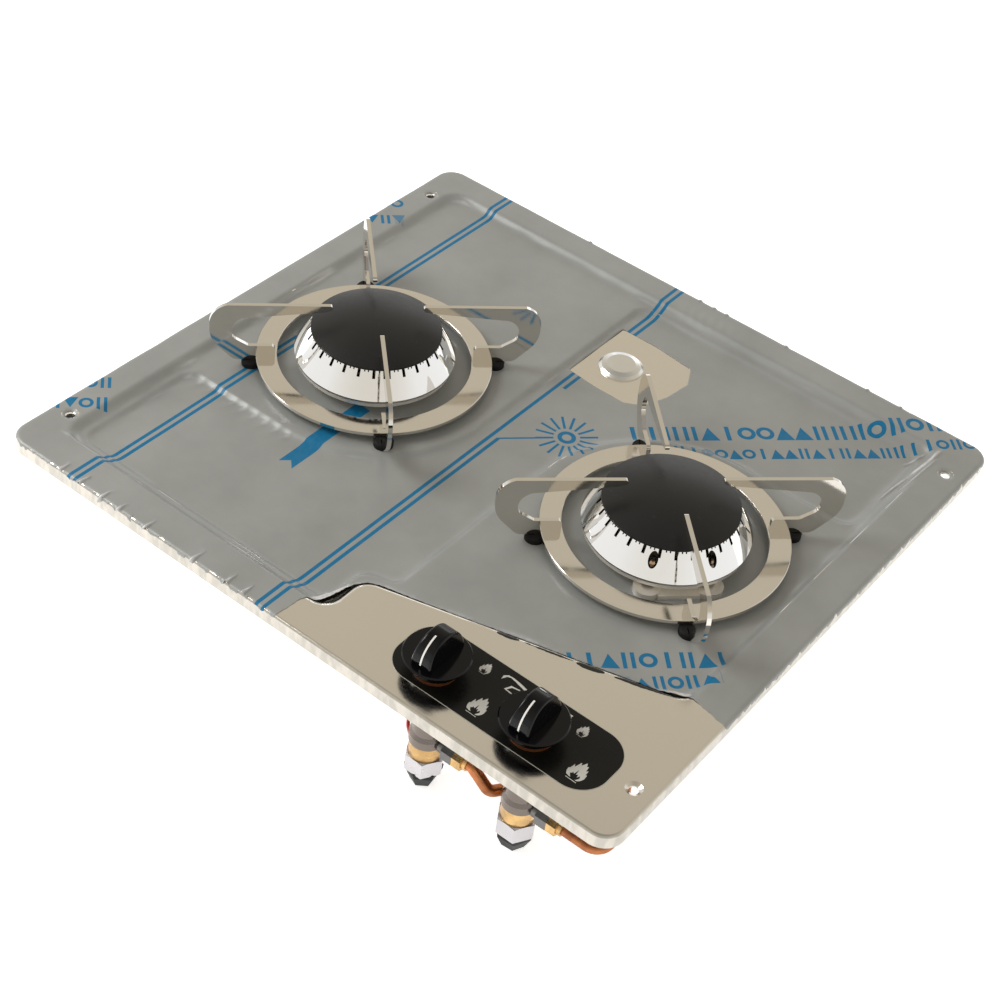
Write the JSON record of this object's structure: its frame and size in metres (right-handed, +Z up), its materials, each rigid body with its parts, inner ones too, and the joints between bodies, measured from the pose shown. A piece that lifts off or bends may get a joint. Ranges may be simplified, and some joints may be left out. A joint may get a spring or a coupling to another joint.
{
  "type": "gas hob",
  "caption": "Built-in gas hob: pressed steel top in peel-off film, domed burners with chrome crowns, hooked pan supports, turn-and-press knobs, gas taps and pipes below.",
  "frame": {"origin": "centre of the top plate on the worktop plane, under the folded rim", "axes": "+X to the right along the control side, +Y to the back, +Z up"},
  "size_m": [0.5, 0.47, 0.1504],
  "materials": {
    "stainless_sheet": "bright rolled",
    "film": "translucent film over steel",
    "label_black": "satin print",
    "seal_amber": "translucent silicone",
    "foam_black": "closed-cell foam",
    "plug_chrome": "plated",
    "foot_rubber": "matt",
    "cast_aluminium": "die cast",
    "zinc_screws": "zinc plated",
    "brass_parts": "turned",
    "crown_chrome": "mirror",
    "cap_enamel": "satin enamel",
    "probe_steel": "drawn",
    "ceramic_white": "glazed",
    "support_steel": "bright",
    "tap_grey": "dark cast",
    "union_grey": "dark plated",
    "nut_zinc": "bright zinc",
    "cap_black": "moulded",
    "copper_pipe": "drawn copper",
    "knob_black": "polished",
    "mark_white": "inlaid",
    "case_black": "moulded",
    "case_grey": "moulded",
    "lead_black": "insulation",
    "wire_red": "insulation",
    "bracket_steel": "galvanised"
  },
  "bodies": {
    "hob": {"hob_plate": "stainless_sheet", "protective_film": "film", "rim_seal": "foam_black", "panel_label": "label_black", "knob_seals": "seal_amber", "hole_plug": "plug_chrome", "cup_screws": "zinc_screws", "cup_nuts": "zinc_screws", "injector_holders": "cast_aluminium", "injectors": "brass_parts", "support_feet": "foot_rubber", "tap_bracket": "bracket_steel", "tap_bodies": "tap_grey", "tap_glands": "zinc_screws", "tap_screws": "zinc_screws", "magnet_rings": "brass_parts", "magnet_nuts": "nut_zinc", "magnet_caps": "cap_black", "inlet_unions": "union_grey", "rear_elbow": "union_grey", "pipe_nuts": "brass_parts", "link_pipe": "copper_pipe", "supply_pipe": "copper_pipe", "feed_pipes": "copper_pipe", "inlet_bracket": "bracket_steel", "inlet_fitting": "brass_parts", "microswitches": "case_black", "spark_box": "case_grey", "box_studs": "zinc_screws", "box_nuts": "zinc_screws", "spark_leads": "lead_black", "thermo_leads": "copper_pipe", "switch_wires": "wire_red", "burner_cup_1": "cast_aluminium", "burner_cup_2": "cast_aluminium", "thermocouple_1": "probe_steel", "thermocouple_2": "probe_steel", "igniter_1": "ceramic_white", "igniter_2": "ceramic_white", "electrode_1": "probe_steel", "electrode_2": "probe_steel"},
    "left_support": {"support_ring_1": "support_steel", "support_legs_1": "support_steel"},
    "left_crown": {"crown_1": "crown_chrome"},
    "left_cap": {"cap_1": "cap_enamel"},
    "left_plug": {"tap_rotor_1": "brass_parts", "tap_spring_1": "probe_steel"},
    "left_knob": {"spindle_1": "zinc_screws", "knob_1": "knob_black", "pointer_1": "mark_white"},
    "right_support": {"support_ring_2": "support_steel", "support_legs_2": "support_steel"},
    "right_crown": {"crown_2": "crown_chrome"},
    "right_cap": {"cap_2": "cap_enamel"},
    "right_plug": {"tap_rotor_2": "brass_parts", "tap_spring_2": "probe_steel"},
    "right_knob": {"spindle_2": "zinc_screws", "knob_2": "knob_black", "pointer_2": "mark_white"}
  },
  "joints": [
    {"name": "left_tap_turn", "type": "hinge", "parent": "hob", "child": "left_plug", "pos_m": [0.0923, -0.1995, 0], "axis": [0, 0, 1], "range_deg": [0, 140]},
    {"name": "left_knob_press", "type": "slide", "parent": "left_plug", "child": "left_knob", "axis": [0, 0, -1], "range_m": [0, 0.004], "stiffness_N_per_m": 700, "springref_m": -0.004, "deforming": ["tap_spring_1"]},
    {"name": "left_support_lift", "type": "slide", "parent": "hob", "child": "left_support", "axis": [0, 0, 1], "range_m": [0, 0.08]},
    {"name": "left_crown_lift", "type": "slide", "parent": "hob", "child": "left_crown", "axis": [0, 0, 1], "range_m": [0, 0.003]},
    {"name": "left_cap_lift", "type": "slide", "parent": "left_crown", "child": "left_cap", "axis": [0, 0, 1], "range_m": [0, 0.004]},
    {"name": "right_tap_turn", "type": "hinge", "parent": "hob", "child": "right_plug", "pos_m": [0.1665, -0.1995, 0], "axis": [0, 0, 1], "range_deg": [0, 140]},
    {"name": "right_knob_press", "type": "slide", "parent": "right_plug", "child": "right_knob", "axis": [0, 0, -1], "range_m": [0, 0.004], "stiffness_N_per_m": 700, "springref_m": -0.004, "deforming": ["tap_spring_2"]},
    {"name": "right_support_lift", "type": "slide", "parent": "hob", "child": "right_support", "axis": [0, 0, 1], "range_m": [0, 0.08]},
    {"name": "right_crown_lift", "type": "slide", "parent": "hob", "child": "right_crown", "axis": [0, 0, 1], "range_m": [0, 0.003]},
    {"name": "right_cap_lift", "type": "slide", "parent": "right_crown", "child": "right_cap", "axis": [0, 0, 1], "range_m": [0, 0.004]}
  ]
}
